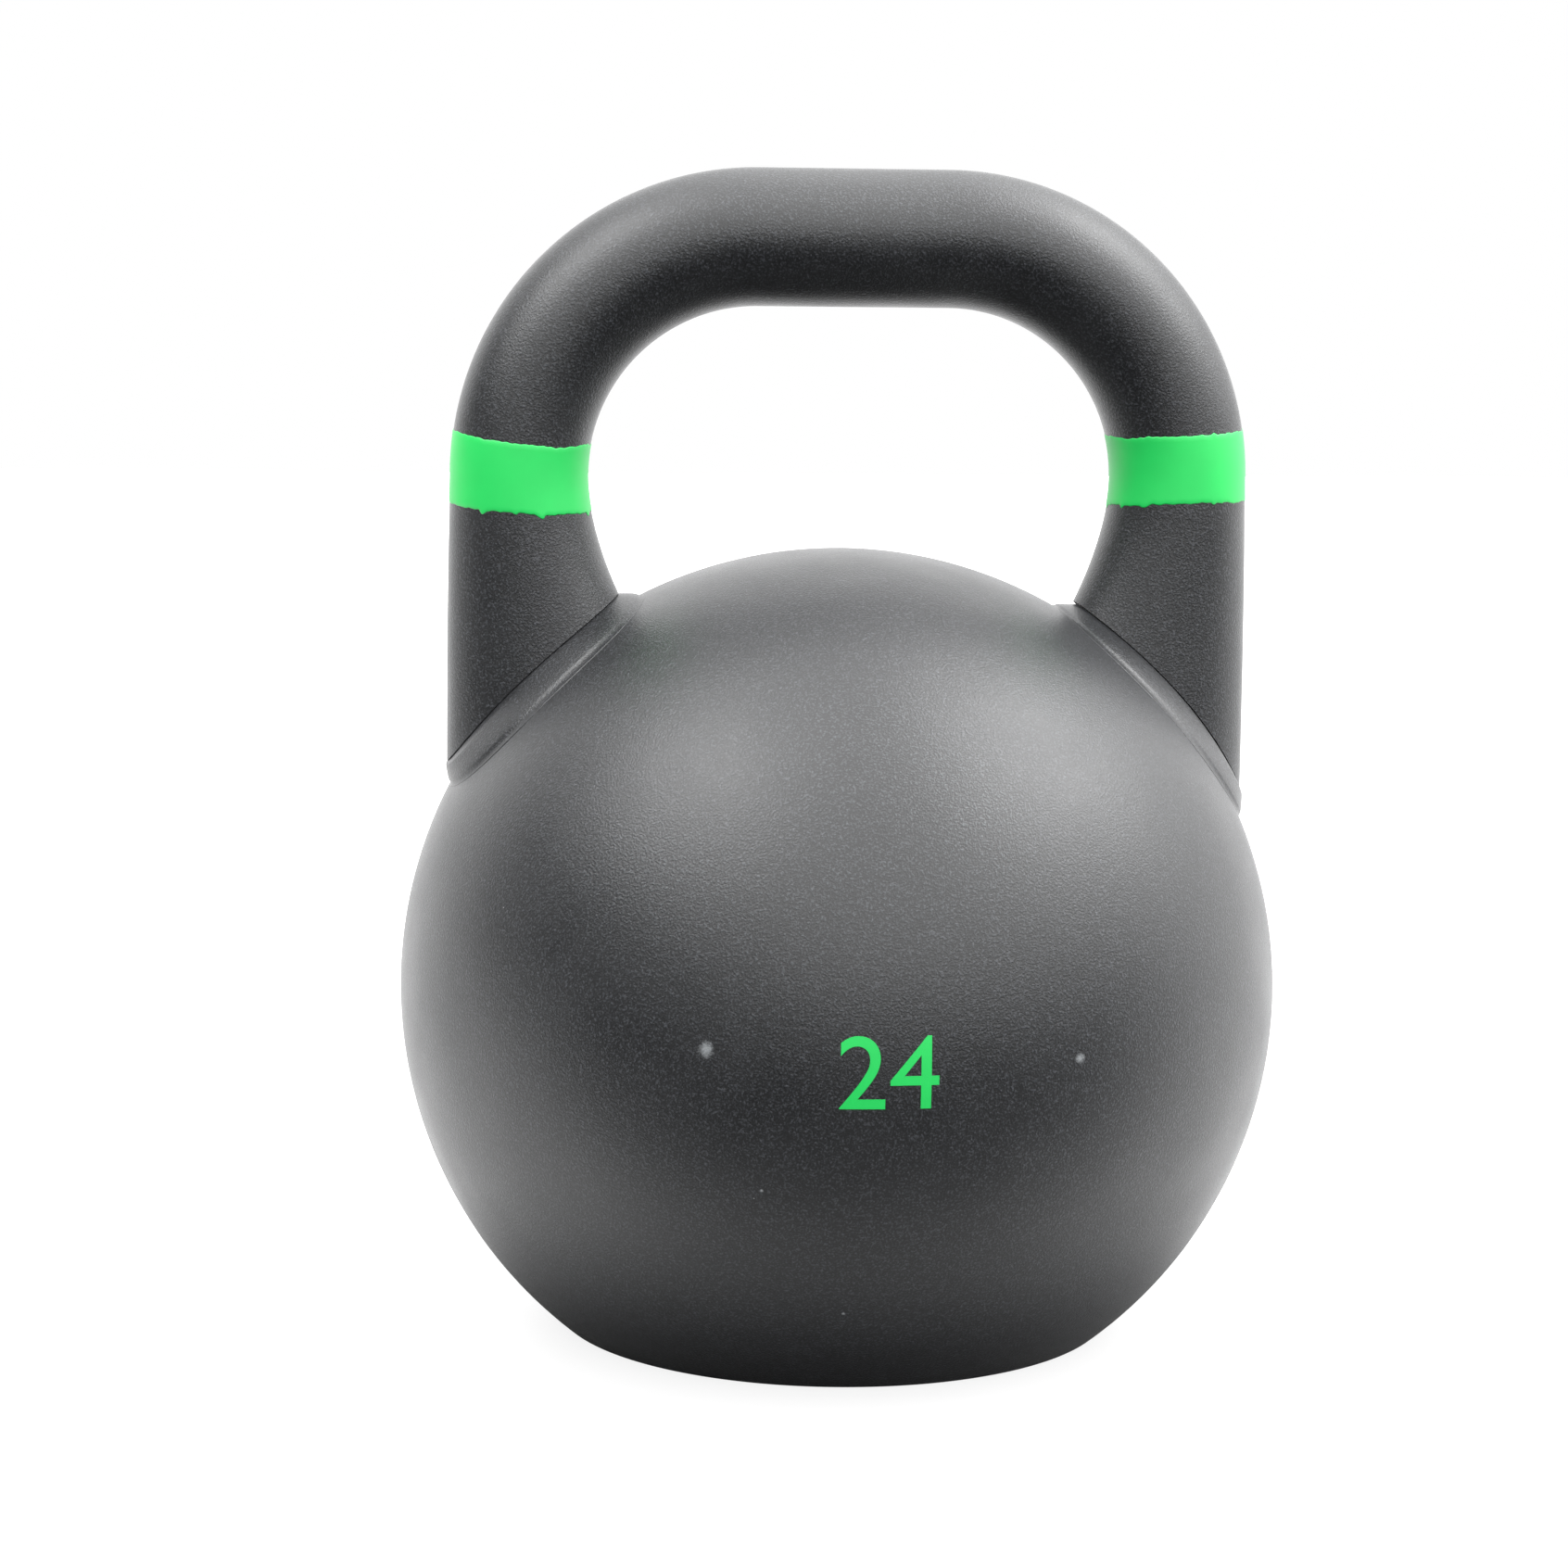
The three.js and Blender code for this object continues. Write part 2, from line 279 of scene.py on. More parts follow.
# %% Green enamel
enamel, tree, surface = new_material("green_enamel")
place = add(tree, "ShaderNodeTexCoord").outputs["Object"]
cover = add(tree, "ShaderNodeTexNoise", {"Vector": place, "Scale": 1 / (6 * MM), "Detail": 3.0})
green = add(
    tree,
    "ShaderNodeMix",
    {"Factor": cover.outputs["Fac"], "A": linear("#05a947"), "B": linear("#039d42")},
    data_type="RGBA",
)
spray = add(tree, "ShaderNodeTexNoise", {"Vector": place, "Scale": 1 / (0.6 * MM), "Detail": 2.0})
film = add(tree, "ShaderNodeBump", {"Height": spray.outputs["Fac"], "Strength": 0.2, "Distance": 0.04 * MM})
tree.links.new(green.outputs["Result"], surface.inputs["Base Color"])
tree.links.new(film.outputs["Normal"], surface.inputs["Normal"])
surface.inputs["Roughness"].default_value = 0.5
surface.inputs["IOR"].default_value = 1.5
print("green enamel:", len(tree.nodes), "nodes")

# %% [markdown]
# ## Finishes 3 to 6: the foot's plug, its seal, and the ballast's resin and shot
# The plug is turned steel with a zinc plate, so it is metallic, pale and faintly streaked by the lathe. The
# seal is moulded rubber. The ballast is steel shot set in a brown-grey resin. These sit under or inside the
# bell.

# %% Zinc plate, rubber and ballast
zinc, tree, surface = new_material("zinc_plate")
place = add(tree, "ShaderNodeTexCoord").outputs["Object"]
split = add(tree, "ShaderNodeSeparateXYZ", {"Vector": place})
level = add(tree, "ShaderNodeCombineXYZ", {"X": split.outputs["X"], "Y": split.outputs["Y"]})
radius = add(tree, "ShaderNodeVectorMath", {0: level.outputs["Vector"]}, operation="LENGTH")
turning = add(tree, "ShaderNodeCombineXYZ", {"X": radius.outputs["Value"], "Z": split.outputs["Z"]})
rings = add(
    tree,
    "ShaderNodeTexNoise",
    {"Vector": turning.outputs["Vector"], "Scale": 1 / (0.4 * MM), "Detail": 2.0},
)
bloom = add(tree, "ShaderNodeTexNoise", {"Vector": place, "Scale": 1 / (7 * MM), "Detail": 4.0})
plate = add(
    tree,
    "ShaderNodeMix",
    {"Factor": bloom.outputs["Fac"], "A": linear("#b9bab6"), "B": linear("#8f918f")},
    data_type="RGBA",
)
dull = add(tree, "ShaderNodeMapRange", {"Value": bloom.outputs["Fac"], "To Min": 0.3, "To Max": 0.5})
lathe = add(tree, "ShaderNodeBump", {"Height": rings.outputs["Fac"], "Strength": 0.3, "Distance": 0.03 * MM})
tree.links.new(plate.outputs["Result"], surface.inputs["Base Color"])
tree.links.new(dull.outputs["Result"], surface.inputs["Roughness"])
tree.links.new(lathe.outputs["Normal"], surface.inputs["Normal"])
surface.inputs["Metallic"].default_value = 1.0


def mottled(name, dark, light, size_mm, rough, bump_mm):
    """A dull solid whose colour and surface both follow one noise of the given real size."""
    material, tree, surface = new_material(name)
    place = add(tree, "ShaderNodeTexCoord").outputs["Object"]
    patches = add(tree, "ShaderNodeTexNoise", {"Vector": place, "Scale": 1 / (size_mm * MM), "Detail": 4.0})
    colour = add(
        tree,
        "ShaderNodeMix",
        {"Factor": patches.outputs["Fac"], "A": linear(dark), "B": linear(light)},
        data_type="RGBA",
    )
    bump = add(
        tree,
        "ShaderNodeBump",
        {"Height": patches.outputs["Fac"], "Strength": 0.4, "Distance": bump_mm * MM},
    )
    tree.links.new(colour.outputs["Result"], surface.inputs["Base Color"])
    tree.links.new(bump.outputs["Normal"], surface.inputs["Normal"])
    surface.inputs["Roughness"].default_value = rough
    return material


rubber = mottled("seal_rubber", "#141414", "#1e1d1c", 1.5, 0.8, 0.05)
resin = mottled("ballast_resin", "#57504a", "#6e665d", 3.0, 0.6, 0.2)
shot_steel = mottled("steel_shot", "#6d6c6a", "#85837f", 0.8, 0.35, 0.02)
shot_steel.node_tree.nodes["Principled BSDF"].inputs["Metallic"].default_value = 1.0
print("materials:", [m.name for m in bpy.data.materials])

# %% [markdown]
# ## The ball, turned by a geometry node tree
# The ball, like anything made on a lathe, is one outline swept round an axis, so a small node tree can make
# it: a grid is bent into shape by reading the outline's points row by row and turning each column a step
# further. The same tree makes the plug, its seal, the ballast, and the ball that the horns are cut with.
# The outline is drawn in this script, with a small round at each corner, because a cast and coated edge is
# never sharp.

# %% The turning tree
def tree_with(name, sockets):
    tree = bpy.data.node_groups.new(name, "GeometryNodeTree")
    for label, kind in sockets:
        tree.interface.new_socket(label, in_out="INPUT", socket_type=kind)
    tree.interface.new_socket("Geometry", in_out="OUTPUT", socket_type="NodeSocketGeometry")
    return tree, add(tree, "NodeGroupInput").outputs, add(tree, "NodeGroupOutput")


def finish_tree(tree, given, end, shape):
    """Closes the seams, smooths, realizes and paints the shape, and sends it out."""
    merged = add(tree, "GeometryNodeMergeByDistance", {"Geometry": shape, "Distance": 0.001 * MM})
    smooth = add(tree, "GeometryNodeSetShadeSmooth", {"Geometry": merged.outputs["Geometry"]})
    solid = add(tree, "GeometryNodeRealizeInstances", {"Geometry": smooth.outputs["Geometry"]})
    painted = add(
        tree,
        "GeometryNodeSetMaterial",
        {"Geometry": solid.outputs["Geometry"], "Material": given["Material"]},
    )
    tree.links.new(painted.outputs["Geometry"], end.inputs["Geometry"])


def grid_rows(tree, columns, rows):
    """A grid of columns by rows, with the column and row number of each of its points."""
    grid = add(tree, "GeometryNodeMeshGrid", {"Vertices X": columns, "Vertices Y": rows})
    index = add(tree, "GeometryNodeInputIndex").outputs["Index"]
    column = add(tree, "FunctionNodeIntegerMath", {0: index, 1: rows}, operation="DIVIDE_FLOOR")
    row = add(tree, "FunctionNodeIntegerMath", {0: index, 1: rows}, operation="MODULO")
    return grid.outputs["Mesh"], column.outputs["Value"], row.outputs["Value"]


turning_tree, given, end = tree_with(
    "turned_outline",
    [
        ("Outline", "NodeSocketGeometry"),
        ("Facets Round", "NodeSocketInt"),
        ("Material", "NodeSocketMaterial"),
    ],
)
count = add(turning_tree, "GeometryNodeAttributeDomainSize", {"Geometry": given["Outline"]})
columns = add(turning_tree, "FunctionNodeIntegerMath", {0: given["Facets Round"], 1: 1}, operation="ADD")
mesh, column, row = grid_rows(turning_tree, columns.outputs["Value"], count.outputs["Point Count"])
position = add(turning_tree, "GeometryNodeInputPosition").outputs["Position"]
outline_point = add(
    turning_tree,
    "GeometryNodeSampleIndex",
    {"Geometry": given["Outline"], "Value": position, "Index": row},
    data_type="FLOAT_VECTOR",
)
turn_share = add(turning_tree, "ShaderNodeMath", {0: column, 1: given["Facets Round"]}, operation="DIVIDE")
turn = add(
    turning_tree,
    "ShaderNodeMath",
    {0: turn_share.outputs["Value"], 1: math.tau},
    operation="MULTIPLY",
)
turned_point = add(
    turning_tree,
    "ShaderNodeVectorRotate",
    {"Vector": outline_point.outputs["Value"], "Angle": turn.outputs["Value"]},
    rotation_type="Z_AXIS",
)
bent = add(
    turning_tree,
    "GeometryNodeSetPosition",
    {"Geometry": mesh, "Position": turned_point.outputs["Vector"]},
)
finish_tree(turning_tree, given, end, bent.outputs["Geometry"])
print("turning tree:", len(turning_tree.nodes), "nodes")


# %% Running a tree on a piece
def run_tree(tree, name, source, settings):
    """Runs a geometry node tree on a source mesh and keeps the result as a plain mesh object."""
    carrier = bpy.data.objects.new(name + "_source", source)
    bpy.context.scene.collection.objects.link(carrier)
    modifier = carrier.modifiers.new("shape", "NODES")
    modifier.node_group = tree
    identifiers = {item.name: item.identifier for item in tree.interface.items_tree if item.in_out == "INPUT"}
    for label, value in settings.items():
        modifier[identifiers[label]] = value
    graph = bpy.context.evaluated_depsgraph_get()
    mesh = bpy.data.meshes.new_from_object(carrier.evaluated_get(graph))
    mesh.name = name
    bpy.data.objects.remove(carrier)
    bpy.data.meshes.remove(source)
    volume = outward(mesh)
    made = bpy.data.objects.new(name, mesh)
    bpy.context.scene.collection.objects.link(made)
    print(f"{name}: {len(mesh.polygons)} faces, {volume:.1f} cm3")
    return made


def outline_mesh(points):
    mesh = bpy.data.meshes.new("outline")
    edges = [(i, i + 1) for i in range(len(points) - 1)]
    mesh.from_pydata([(r * MM, 0, z * MM) for r, z in points], edges, [])
    return mesh


# %% [markdown]
# ## Rounding an outline
# Each corner of an outline is given with its own radius, and one function replaces it by a short arc. A
# point just before and just after each arc keeps the flats flat when the surface is shaded smooth.

# %% Rounded outlines
FLAT_HOLD = 0.4  # from an arc's end to the point that holds the flat beside it


def rounded(corners, steps=6):
    """An open outline through corners of (radius, height, rounding), with each corner rounded by an arc."""
    made = [Vector(corners[0][:2])]
    for before, corner, after in zip(corners, corners[1:], corners[2:]):
        here = Vector(corner[:2])
        if not corner[2]:
            made.append(here)
            continue
        to_before = (Vector(before[:2]) - here).normalized()
        to_after = (Vector(after[:2]) - here).normalized()
        half = to_before.angle(to_after) / 2
        reach = corner[2] / math.tan(half)
        centre = here + (to_before + to_after).normalized() * (corner[2] / math.sin(half))
        start, stop = here + to_before * reach - centre, here + to_after * reach - centre
        made.append(here + to_before * (reach + FLAT_HOLD))
        for i in range(steps + 1):  # slerp gives a unit vector
            made.append(centre + start.slerp(stop, i / steps) * corner[2])
        made.append(here + to_after * (reach + FLAT_HOLD))
    made.append(Vector(corners[-1][:2]))
    return [(p.x, p.y) for p in made]


def meridian(radius, start, stop, step):
    """Points down a meridian about the ball's centre, between angles from the vertical in degrees."""
    angles = np.radians(np.linspace(start, stop, int(abs(stop - start) / step) + 2))
    return [(radius * math.sin(a) if a > 1e-9 else 0.0, BALL_Z + radius * math.cos(a)) for a in angles]


# %% The ball
FOOT_EDGE_ROUND = 1.6
CAVITY_RADIUS = 78.6
CAVITY_FLOOR_Z = 22.0
HOLE_RADIUS, COUNTERBORE_RADIUS, COUNTERBORE_DEPTH = 20.0, 27.0, 8.0

foot_angle = 180 - math.degrees(math.acos(BALL_Z / BALL_RADIUS))
outside = meridian(BALL_RADIUS, 0, foot_angle - 1.2, 1.4)
floor_angle = 180 - math.degrees(math.acos((BALL_Z - CAVITY_FLOOR_Z) / CAVITY_RADIUS))
inside = meridian(CAVITY_RADIUS, 0, floor_angle, 5)[::-1]
foot = rounded(
    [
        (*outside[-1], 0),
        (foot_radius, 0, FOOT_EDGE_ROUND),
        (COUNTERBORE_RADIUS, 0, 0.8),
        (COUNTERBORE_RADIUS, COUNTERBORE_DEPTH, 0.3),
        (HOLE_RADIUS, COUNTERBORE_DEPTH, 0.5),
        (HOLE_RADIUS, CAVITY_FLOOR_Z, 0.8),
        (*inside[0], 0),
    ]
)
ball = run_tree(
    turning_tree,
    "ball",
    outline_mesh(outside[:-1] + foot + inside[1:]),
    {"Facets Round": 192, "Material": powder_coat},
)

# %% [markdown]
# ## The handle, skinned over its sections
# A bent bar whose horns widen is a row of ovals. Each oval is known by three things: its outer point, its
# inner point and half its depth. Down the horn the outer side stays almost straight while the inner side
# swings in under the window. A second node tree reads those three values from a row of points and draws an
# oval at each. The function that gives an oval's place is kept, because the painted bands need the same
# surface.

# %% Sections of the handle
HORN_SPLAY, HORN_FLARE = 0.9, 17.0
HORN_INNER_DROP, HORN_OUTER_DROP = 45.0, 85.0
HORN_HALF_DEPTH = 18.0


def corner_section(angle):
    across, up = math.cos(angle), math.sin(angle)
    outer_radius, inner_radius = CORNER_RADIUS + BAR_RADIUS, CORNER_RADIUS - BAR_RADIUS
    outer = (CORNER_X + outer_radius * across, CORNER_Z + outer_radius * up)
    inner = (CORNER_X + inner_radius * across, CORNER_Z + inner_radius * up)
    return outer, inner, BAR_RADIUS


def horn_section(share):
    outward_lean = HORN_SPLAY * (1 - (1 - share) ** 3)
    drop = HORN_INNER_DROP * (1 - (1 - share) ** (HORN_OUTER_DROP / HORN_INNER_DROP))
    inward = HORN_FLARE * (drop / HORN_INNER_DROP) ** 1.75
    depth = BAR_RADIUS + (HORN_HALF_DEPTH - BAR_RADIUS) * share**1.5
    outer = (HALF_WIDTH + BAR_RADIUS + outward_lean, CORNER_Z - HORN_OUTER_DROP * share)
    inner = (HALF_WIDTH - BAR_RADIUS - inward, CORNER_Z - drop)
    return outer, inner, depth


def section(along):
    """The right half's section: 0 is the grip's middle, 1 to 2 the corner, 2 to 3 the horn."""
    if along < 1:
        x = CORNER_X * along
        return (x, GRIP_Z + BAR_RADIUS), (x, GRIP_Z - BAR_RADIUS), BAR_RADIUS
    if along < 2:
        return corner_section(math.pi / 2 * (2 - along))
    return horn_section(along - 2)


HORN_END = 2.93  # the horns stop just inside their collars
right_half = [*np.linspace(0, 1, 8), *np.linspace(1, 2, 56)[1:], *np.linspace(2, HORN_END, 56)[1:]]
print("sections:", 2 * len(right_half) - 1)

# %% The skinning tree
skin_tree, given, end = tree_with(
    "skinned_sections",
    [
        ("Sections", "NodeSocketGeometry"),
        ("Points Round", "NodeSocketInt"),
        ("Material", "NodeSocketMaterial"),
    ],
)
count = add(skin_tree, "GeometryNodeAttributeDomainSize", {"Geometry": given["Sections"]})
rows = add(skin_tree, "FunctionNodeIntegerMath", {0: given["Points Round"], 1: 1}, operation="ADD")
mesh, column, row = grid_rows(skin_tree, count.outputs["Point Count"], rows.outputs["Value"])


def read_section(name, kind):
    stored = add(skin_tree, "GeometryNodeInputNamedAttribute", {"Name": name}, data_type=kind)
    value = next(s for s in stored.outputs if s.enabled and s.name == "Attribute")
    sampled = add(
        skin_tree,
        "GeometryNodeSampleIndex",
        {"Geometry": given["Sections"], "Value": value, "Index": column},
        data_type=kind,
    )
    return sampled.outputs["Value"]


turn_share = add(skin_tree, "ShaderNodeMath", {0: row, 1: given["Points Round"]}, operation="DIVIDE")
turn = add(skin_tree, "ShaderNodeMath", {0: turn_share.outputs["Value"], 1: math.tau}, operation="MULTIPLY")
cosine = add(skin_tree, "ShaderNodeMath", {0: turn.outputs["Value"]}, operation="COSINE")
sine = add(skin_tree, "ShaderNodeMath", {0: turn.outputs["Value"]}, operation="SINE")
across = add(
    skin_tree,
    "ShaderNodeMath",
    {0: cosine.outputs["Value"], 1: 0.5, 2: 0.5},
    operation="MULTIPLY_ADD",
)
side_to_side = add(
    skin_tree,
    "ShaderNodeMix",
    {
        "Factor": across.outputs["Value"],
        "A": read_section("inner", "FLOAT_VECTOR"),
        "B": read_section("outer", "FLOAT_VECTOR"),
    },
    data_type="VECTOR",
)
around = add(
    skin_tree,
    "ShaderNodeVectorMath",
    {0: side_to_side.outputs["Result"], 1: (1.0, 0.0, 1.0)},
    operation="MULTIPLY",
)
depth = add(
    skin_tree,
    "ShaderNodeMath",
    {0: sine.outputs["Value"], 1: read_section("half_depth", "FLOAT")},
    operation="MULTIPLY",
)
sideways = add(skin_tree, "ShaderNodeCombineXYZ", {"Y": depth.outputs["Value"]})
placed = add(
    skin_tree,
    "ShaderNodeVectorMath",
    {0: around.outputs["Vector"], 1: sideways.outputs["Vector"]},
    operation="ADD",
)
skinned = add(skin_tree, "GeometryNodeSetPosition", {"Geometry": mesh, "Position": placed.outputs["Vector"]})
finish_tree(skin_tree, given, end, skinned.outputs["Geometry"])
print("skinning tree:", len(skin_tree.nodes), "nodes")


# %% The handle
def sections_mesh(stations):
    """One point per station, carrying the oval's outer point, inner point and half depth."""
    mesh = bpy.data.meshes.new("stations")
    mesh.from_pydata([(0, 0, i * MM) for i in range(len(stations))], [], [])
    for name, which in (("outer", 0), ("inner", 1)):
        values = [(station[which][0] * MM, 0.0, station[which][1] * MM) for station in stations]
        layer = mesh.attributes.new(name, "FLOAT_VECTOR", "POINT")
        layer.data.foreach_set("vector", np.array(values, dtype=np.float32).ravel())
    layer = mesh.attributes.new("half_depth", "FLOAT", "POINT")
    layer.data.foreach_set("value", np.array([station[2] * MM for station in stations], dtype=np.float32))
    return mesh


def moved(station, side):
    (outer_x, outer_z), (inner_x, inner_z), half_depth = station
    return (side * outer_x + HANDLE_OFFSET, outer_z), (side * inner_x + HANDLE_OFFSET, inner_z), half_depth


def closed(station):
    middle = tuple((Vector(station[0]) + Vector(station[1])) / 2)
    return middle, middle, 0.0


halves = [section(along) for along in right_half]
stations = [moved(s, -1) for s in reversed(halves)] + [moved(s, 1) for s in halves[1:]]
handle = run_tree(
    skin_tree,
    "handle_bar",
    sections_mesh([closed(stations[0]), *stations, closed(stations[-1])]),
    {"Points Round": 96, "Material": powder_coat},
)

# %% [markdown]
# ## Where the horns end
# On the real bell the horns stop on their collars, and a fine dark line runs round the joint. Here the
# handle is cut by a ball that is 0.3 mm larger than the collars' tops, which leaves just that line.

# %% Cut the horns
COLLAR_HEIGHT = 3.2
JOINT_GAP = 0.3


def cut(target, cutter, creased_above=35):
    """Takes the cutter's mesh away from the target's, and keeps the new edges crisp."""
    modifier = target.modifiers.new("cut", "BOOLEAN")
    modifier.operation = "DIFFERENCE"
    modifier.solver = "EXACT"
    modifier.object = cutter
    graph = bpy.context.evaluated_depsgraph_get()
    mesh = bpy.data.meshes.new_from_object(target.evaluated_get(graph))
    mesh.name = target.name
    target.modifiers.clear()
    before, target.data = target.data, mesh
    bpy.data.meshes.remove(before)
    bpy.data.objects.remove(cutter)
    mesh.polygons.foreach_set("use_smooth", [True] * len(mesh.polygons))
    mesh.set_sharp_from_angle(angle=math.radians(creased_above))
    print(f"{target.name}: {len(mesh.polygons)} faces after the cut")


cut_radius = BALL_RADIUS + COLLAR_HEIGHT + JOINT_GAP
CUT_STEPS = 64
cut_turns = [math.pi * i / CUT_STEPS for i in range(CUT_STEPS + 1)]
cut_outline = [(cut_radius * math.sin(t), BALL_Z + cut_radius * math.cos(t)) for t in cut_turns]
cut_outline[0], cut_outline[-1] = (0, BALL_Z + cut_radius), (0, BALL_Z - cut_radius)
sphere = run_tree(turning_tree, "cutting_ball", outline_mesh(cut_outline), {"Facets Round": 160})
cut(handle, sphere)

# %% [markdown]
# ## The collars
# A collar is a raised pad on the ball. The horn lands on its flat seat, and round the horn a shoulder
# slopes down to a low rim. Seen from above it is a squarish oval, which a superellipse draws. The seat and
# the rim are two such ovals on balls of two sizes, and the shoulder is drawn between them. Coat fills the
# corner under the rim, so the rim runs out onto the ball in a small hollow curve.

# %% Collars
SEAT_ANGLES, SEAT_HALF_DEPTH = (30.8, 62.7), 18.2
RIM_ANGLES, RIM_HALF_DEPTH, RIM_HEIGHT = (28.6, 64.4), 26.6, 0.9
SQUARENESS = 2.3
POINTS_ROUND = 168
# Each pair is a slope, where 0 is the rim's outline and 1 the seat's, and a height above the ball.
HOLLOW_CURVE = [(-0.32, 0.0), (-0.24, 0.03), (-0.16, 0.11), (-0.09, 0.26), (-0.04, 0.46)]
RIM_ROUND = [(-0.01, 0.64), (0.01, 0.77), (0.035, 0.88), (0.07, 0.98), (0.12, 1.12)]


def blunt(v):
    return math.copysign(abs(v) ** (2 / SQUARENESS), v)


def collar_ring(side, slope, height, shrink=1.0):
    """A ring of points round the pad, at a slope between rim and seat and a height above the ball."""
    radius = BALL_RADIUS + height
    angle_from = RIM_ANGLES[0] + (SEAT_ANGLES[0] - RIM_ANGLES[0]) * slope
    angle_to = RIM_ANGLES[1] + (SEAT_ANGLES[1] - RIM_ANGLES[1]) * slope
    half_depth = RIM_HALF_DEPTH + (SEAT_HALF_DEPTH - RIM_HALF_DEPTH) * slope
    points = []
    for i in range(POINTS_ROUND):
        turn = math.tau * i / POINTS_ROUND
        across, along = shrink * blunt(math.cos(turn)), shrink * blunt(math.sin(turn))
        angle = math.radians((angle_from + angle_to) / 2 + across * (angle_to - angle_from) / 2)
        y = along * half_depth
        x = side * math.sqrt(radius**2 - y**2) * math.sin(angle) + HANDLE_OFFSET
        points.append((x, y, BALL_Z + math.sqrt(radius**2 - x**2 - y**2)))
    return points


def between_rings(count, length, wrap=False):
    """Quads between rings of equal length, one after another."""
    faces = []
    for ring in range(count if wrap else count - 1):
        here, there = ring * length, (ring + 1) % count * length
        for i in range(length):
            j = (i + 1) % length
            faces.append((here + i, here + j, there + j, there + i))
    return faces


def collar(name, side):
    rings = [collar_ring(side, -0.32, -0.05, shrink) for shrink in (0.02, 0.35, 0.7, 0.97, 0.998)]
    for slope, height in HOLLOW_CURVE + RIM_ROUND:
        rings.append(collar_ring(side, slope, height))
    for slope in (0.2, 0.4, 0.6, 0.8, 0.93):
        rings.append(collar_ring(side, slope, RIM_HEIGHT + (COLLAR_HEIGHT - RIM_HEIGHT) * slope))
    rings.append(collar_ring(side, 0.985, COLLAR_HEIGHT - 0.07))
    rings += [collar_ring(side, 1, COLLAR_HEIGHT, s) for s in (0.985, 0.9, 0.75, 0.5, 0.25, 0.02)]
    points = [p for ring in rings for p in ring]
    faces = between_rings(len(rings), POINTS_ROUND)
    last = (len(rings) - 1) * POINTS_ROUND
    faces.append(tuple(range(POINTS_ROUND)))
    faces.append(tuple(last + i for i in range(POINTS_ROUND)))
    return piece(name, points, faces, powder_coat)


left_collar = collar("left_collar_pad", -1)
right_collar = collar("right_collar_pad", 1)

# %% [markdown]
# ## The painted bands
# Each leg is masked with tape and sprayed. The tape never sits quite level, and paint creeps under it, so
# each edge has a small tilt of its own and a ragged line. The film is drawn 0.14 mm thick, a little thicker
# than life.

# %% Bands
FILM = 0.14
FILM_ROWS = [0, 0.012, 0.03, 0.08, 0.16, 0.28, 0.4, 0.5, 0.6, 0.72, 0.84, 0.92, 0.97, 0.988, 1]
BAND_POINTS = 288


def on_handle(side, along, turn, grow):
    outer, inner, half_depth = section(along)
    middle = (Vector(outer) + Vector(inner)) / 2
    half = (Vector(outer) - Vector(inner)) / 2
    flat = middle + half.normalized() * (half.length + grow) * math.cos(turn)
    return Vector((side * flat.x + HANDLE_OFFSET, (half_depth + grow) * math.sin(turn), flat.y))


def at_height(side, z, turn):
    """How far along the handle its surface reaches a height."""
    low, high = 1.2, 2.9
    for _ in range(22):
        middle = (low + high) / 2
        if on_handle(side, middle, turn, 0).z > z:
            low = middle
        else:
            high = middle
    return (low + high) / 2


def edge_height(level, turn, seed, bleed):
    """The height of a band's edge: the tape's tilt, a waver, a fine rag and, below, a few runs."""
    height, to_outside, to_front = level
    around = Vector((math.cos(turn), math.sin(turn), 0)) * BAR_RADIUS
    waver = noise.noise(around / 6 + Vector((0, 0, seed))) * 0.35
    rag = noise.noise(around / 1.3 + Vector((0, 0, seed + 7))) * 0.3
    run = max(0.0, noise.noise(around / 2.2 + Vector((0, 0, seed + 13))) - 0.25) * bleed
    return BALL_Z + height + to_outside * math.cos(turn) - to_front * math.sin(turn) + waver + rag - run


def band(name, side, top, bottom, seed):
    rings = []
    for grow_row in (1, -1):
        for share in FILM_ROWS[::grow_row]:
            edge = min(share, 1 - share)
            film = FILM * min(1.0, 0.25 + edge * 25) if grow_row > 0 else -0.08
            rings.append([])
            for i in range(BAND_POINTS):
                turn = math.tau * i / BAND_POINTS
                high = edge_height(top, turn, seed, -0.6)
                low = edge_height(bottom, turn, seed + 3, 2.2)
                along = at_height(side, high + (low - high) * share, turn)
                rings[-1].append(on_handle(side, along, turn, film))
    points = [p for ring in rings for p in ring]
    return piece(name, points, between_rings(len(rings), BAND_POINTS, wrap=True), enamel)


# An edge is its height above the ball's centre, its rise to the outside and its rise to the front.
left_band = band("left_paint_band", -1, (131.3, 1.5, -1.4), (114.8, 1.0, -0.9), 1.5)
right_band = band("right_paint_band", 1, (133.3, 0.9, -0.4), (116.45, 0.65, 0.55), 21.5)

# %% [markdown]
# ## The weight mark
# The weight class is painted on the front as a plain number, like a number on a dial. It is set in Blender's
# own built-in letters at their natural weight and proportions, then cut into small squares so that it can
# bend, and laid on the ball as a thin film, level with the ball's centre.

# %% Weight mark
MARK_TEXT = "24"
MARK_CENTRE_Z = 0.0
MARK_HEIGHT = 16.0
MARK_FILM = 0.14
MARK_SUNK = 0.05  # how far the film's underside lies below the ball's surface
MARK_SQUARE = 1.5


def text_mesh(text):
    curve = bpy.data.curves.new("mark_text", "FONT")
    curve.body = text
    curve.extrude = 0.5
    curve.resolution_u = 12
    source = bpy.data.objects.new("mark_text", curve)
    bpy.context.scene.collection.objects.link(source)
    graph = bpy.context.evaluated_depsgraph_get()
    mesh = bpy.data.meshes.new_from_object(source.evaluated_get(graph))
    bpy.data.objects.remove(source)
    return mesh


